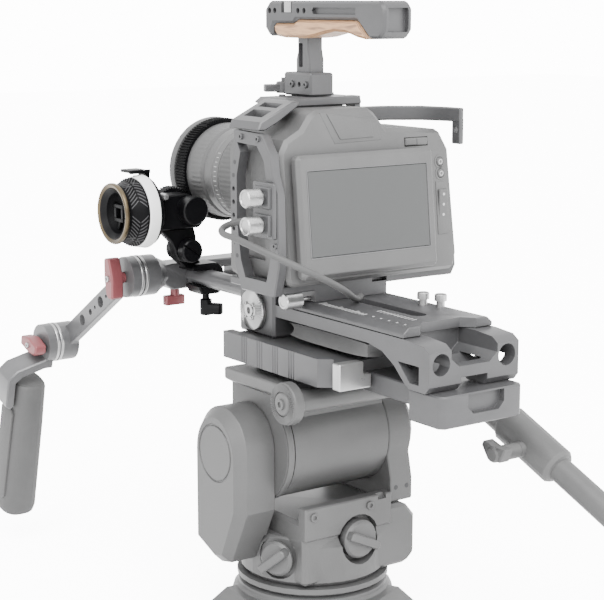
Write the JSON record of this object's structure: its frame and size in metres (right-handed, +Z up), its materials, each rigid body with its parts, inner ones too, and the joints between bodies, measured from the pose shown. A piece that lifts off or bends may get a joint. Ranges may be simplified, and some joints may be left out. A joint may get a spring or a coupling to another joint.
{
  "type": "cinema camera rig",
  "caption": "Camera in a cage with top handle, geared lens, follow focus, rods, shoulder plate and side handgrip, carried by a fluid head with a pan bar on a short tripod crown.",
  "frame": {"origin": "on the pan axis, at the flat underside of the tripod crown", "axes": "+X to the operator's right, +Y along the lens, +Z up"},
  "size_m": [0.2802, 0.6491, 0.49],
  "materials": {
    "black_anodised": "black anodised, satin",
    "grey_anodised": "grey anodised, satin",
    "grey_casting": "grey painted casting",
    "grey_plastic": "fine grained plastic",
    "dark_glass": "smooth cover glass, screen off",
    "satin_steel": "satin turned steel",
    "rod_alloy": "satin anodised alloy",
    "grip_rubber": "matt rubber",
    "black_rubber": "black moulded",
    "walnut": "oiled wood",
    "red_lever": "red anodised",
    "brass_ring": "bronze coloured turned ring",
    "white_disc": "white writing surface",
    "foam": "soft moulded foam"
  },
  "bodies": {
    "base": {"tripod_crown": "grey_casting"},
    "pan_body": {"head_base_housing": "grey_casting", "tilt_cover_left": "grey_casting", "cheek_right": "grey_casting"},
    "pan_drag": {"pan_drag_knob": "grey_plastic"},
    "pan_lock": {"pan_lock_knob": "grey_plastic"},
    "tilt_body": {"tilt_drum": "grey_casting", "head_platform": "grey_casting", "tripod_adapter": "grey_anodised", "shoulder_plate": "grey_anodised", "sliding_plate": "grey_anodised", "shoulder_pad": "foam", "side_rosette_left": "satin_steel", "side_rosette_right": "satin_steel", "rod_left": "rod_alloy", "rod_right": "rod_alloy", "camera_body": "grey_plastic", "lens_barrel": "grey_plastic", "lens_glass": "dark_glass", "cage_left": "grey_anodised", "cage_top": "grey_anodised", "cage_base": "grey_anodised", "cage_right_arm": "grey_anodised", "cable_clamp": "grey_anodised", "handle_frame": "grey_anodised", "handle_grip_wood": "walnut", "handle_post": "grey_anodised", "ff_rod_clamp": "black_anodised", "front_rod_bracket": "rod_alloy", "signal_cable": "grip_rubber"},
    "bar": {"pan_bar": "grey_plastic"},
    "bar_screw": {"pan_bar_screw": "grey_plastic"},
    "release": {"adapter_release": "satin_steel"},
    "plate_lock": {"plate_lock_knob": "satin_steel"},
    "screen": {"lcd_panel": "grey_plastic", "lcd_glass": "dark_glass"},
    "key_upper": {"button_round_upper": "grey_plastic"},
    "key_lower": {"button_round_lower": "grey_plastic"},
    "pad": {"key_pad": "grey_plastic"},
    "rocker": {"top_keys": "grey_plastic"},
    "zoom": {"zoom_ring": "grip_rubber"},
    "focus": {"focus_ring": "grey_plastic", "focus_gear_ring": "black_rubber"},
    "clamp_upper": {"clamp_knob_upper": "satin_steel"},
    "clamp_lower": {"clamp_knob_lower": "satin_steel"},
    "handle_lever": {"handle_lock_lever": "grey_anodised"},
    "ff_head": {"ff_gearbox": "black_anodised", "ff_swing_arm": "black_anodised", "ff_index_pointer": "black_anodised"},
    "ff_gear": {"ff_drive_gear": "black_anodised"},
    "ff_wheel": {"ff_handwheel": "black_rubber", "ff_rim_ring": "brass_ring", "ff_marking_disc": "white_disc"},
    "ff_pivot": {"ff_pivot_knob": "black_anodised"},
    "ff_lever": {"ff_clamp_lever": "black_anodised"},
    "arm": {"arm_link": "rod_alloy"},
    "arm_lever": {"arm_lever_upper": "red_lever"},
    "grip": {"grip_bracket": "rod_alloy", "hand_grip": "grip_rubber"},
    "grip_lever": {"arm_lever_lower": "red_lever"}
  },
  "joints": [
    {"name": "head_pan", "type": "hinge", "parent": "base", "child": "pan_body", "pos_m": [0, 0, 0.042], "axis": [0, 0, 1], "continuous": true},
    {"name": "head_tilt", "type": "hinge", "parent": "pan_body", "child": "tilt_body", "pos_m": [0, 0, 0.15], "axis": [1, 0, 0], "range_deg": [-35, 40]},
    {"name": "pan_drag_turn", "type": "hinge", "parent": "pan_body", "child": "pan_drag", "pos_m": [0.007, -0.05, 0.076], "axis": [0, -1, 0], "range_deg": [0, 150]},
    {"name": "pan_lock_turn", "type": "hinge", "parent": "pan_body", "child": "pan_lock", "pos_m": [-0.04791, -0.02337, 0.064], "axis": [-0.8988, -0.4384, 0], "range_deg": [-45, 45]},
    {"name": "bar_swing", "type": "hinge", "parent": "tilt_body", "child": "bar", "pos_m": [0.0783, -0.066, 0.199], "axis": [1, 0, 0], "range_deg": [-30, 25]},
    {"name": "bar_screw_turn", "type": "hinge", "parent": "bar", "child": "bar_screw", "pos_m": [0.10179, -0.14736, 0.15723], "axis": [1, 0, 0], "continuous": true},
    {"name": "release_slide", "type": "slide", "parent": "tilt_body", "child": "release", "axis": [-1, 0, 0], "range_m": [0, 0.005], "stiffness_N_per_m": 400},
    {"name": "plate_lock_turn", "type": "hinge", "parent": "tilt_body", "child": "plate_lock", "pos_m": [-0.0343, -0.043, 0.2702], "axis": [1, 0, 0], "continuous": true},
    {"name": "screen_tilt", "type": "hinge", "parent": "tilt_body", "child": "screen", "pos_m": [0.005, -0.05129, 0.379], "axis": [-1, 0, 0], "range_deg": [0, 45]},
    {"name": "key_upper_press", "type": "slide", "parent": "tilt_body", "child": "key_upper", "axis": [0, 1, 0], "range_m": [0, 0.001], "stiffness_N_per_m": 350},
    {"name": "key_lower_press", "type": "slide", "parent": "tilt_body", "child": "key_lower", "axis": [0, 1, 0], "range_m": [0, 0.001], "stiffness_N_per_m": 350},
    {"name": "pad_press", "type": "slide", "parent": "tilt_body", "child": "pad", "axis": [0, 1, 0], "range_m": [0, 0.0009], "stiffness_N_per_m": 350},
    {"name": "rocker_press", "type": "slide", "parent": "tilt_body", "child": "rocker", "axis": [0, 1, 0], "range_m": [0, 0.0009], "stiffness_N_per_m": 350},
    {"name": "zoom_turn", "type": "hinge", "parent": "tilt_body", "child": "zoom", "pos_m": [0, 0.062, 0.351], "axis": [0, 1, 0], "range_deg": [-45, 45]},
    {"name": "focus_turn", "type": "hinge", "parent": "tilt_body", "child": "focus", "pos_m": [0, 0.13, 0.351], "axis": [0, 1, 0], "range_deg": [-60, 60]},
    {"name": "ff_gear_turn", "type": "hinge", "parent": "ff_head", "child": "ff_gear", "pos_m": [-0.05152, 0.13, 0.32349], "axis": [0, 1, 0], "range_deg": [-160, 160]},
    {"name": "ff_wheel_turn", "type": "hinge", "parent": "ff_head", "child": "ff_wheel", "pos_m": [-0.09, 0.113, 0.32349], "axis": [1, 0, 0], "range_deg": [-160, 160]},
    {"name": "ff_swing", "type": "hinge", "parent": "tilt_body", "child": "ff_head", "pos_m": [-0.052, 0.113, 0.29], "axis": [0, 1, 0], "range_deg": [-12, 0]},
    {"name": "ff_pivot_turn", "type": "hinge", "parent": "tilt_body", "child": "ff_pivot", "pos_m": [-0.052, 0.1, 0.29], "axis": [0, 1, 0], "continuous": true},
    {"name": "ff_lever_turn", "type": "hinge", "parent": "tilt_body", "child": "ff_lever", "pos_m": [-0.028, 0.114, 0.244], "axis": [0, 0, 1], "range_deg": [-60, 60]},
    {"name": "clamp_upper_turn", "type": "hinge", "parent": "tilt_body", "child": "clamp_upper", "pos_m": [-0.0813, -0.048, 0.35], "axis": [1, 0, 0], "continuous": true},
    {"name": "clamp_lower_turn", "type": "hinge", "parent": "tilt_body", "child": "clamp_lower", "pos_m": [-0.0813, -0.048, 0.33], "axis": [1, 0, 0], "continuous": true},
    {"name": "handle_lever_turn", "type": "hinge", "parent": "tilt_body", "child": "handle_lever", "pos_m": [-0.004, 0.033, 0.424], "axis": [0, 0, 1], "range_deg": [-40, 40]},
    {"name": "arm_swing", "type": "hinge", "parent": "tilt_body", "child": "arm", "pos_m": [-0.079, 0.141, 0.266], "axis": [1, 0, 0], "range_deg": [-35, 45]},
    {"name": "arm_lever_turn", "type": "hinge", "parent": "arm", "child": "arm_lever", "pos_m": [-0.0903, 0.141, 0.266], "axis": [1, 0, 0], "range_deg": [-45, 45]},
    {"name": "grip_swing", "type": "hinge", "parent": "arm", "child": "grip", "pos_m": [-0.0983, 0.25973, 0.19181], "axis": [1, 0, 0], "range_deg": [-50, 50]},
    {"name": "grip_lever_turn", "type": "hinge", "parent": "grip", "child": "grip_lever", "pos_m": [-0.1093, 0.25973, 0.19181], "axis": [1, 0, 0], "range_deg": [-15, 15]}
  ],
  "couplings": [
    {"joint": "ff_gear_turn", "follows": "focus_turn", "ratio": -2.65},
    {"joint": "ff_wheel_turn", "follows": "focus_turn", "ratio": 2.65}
  ]
}
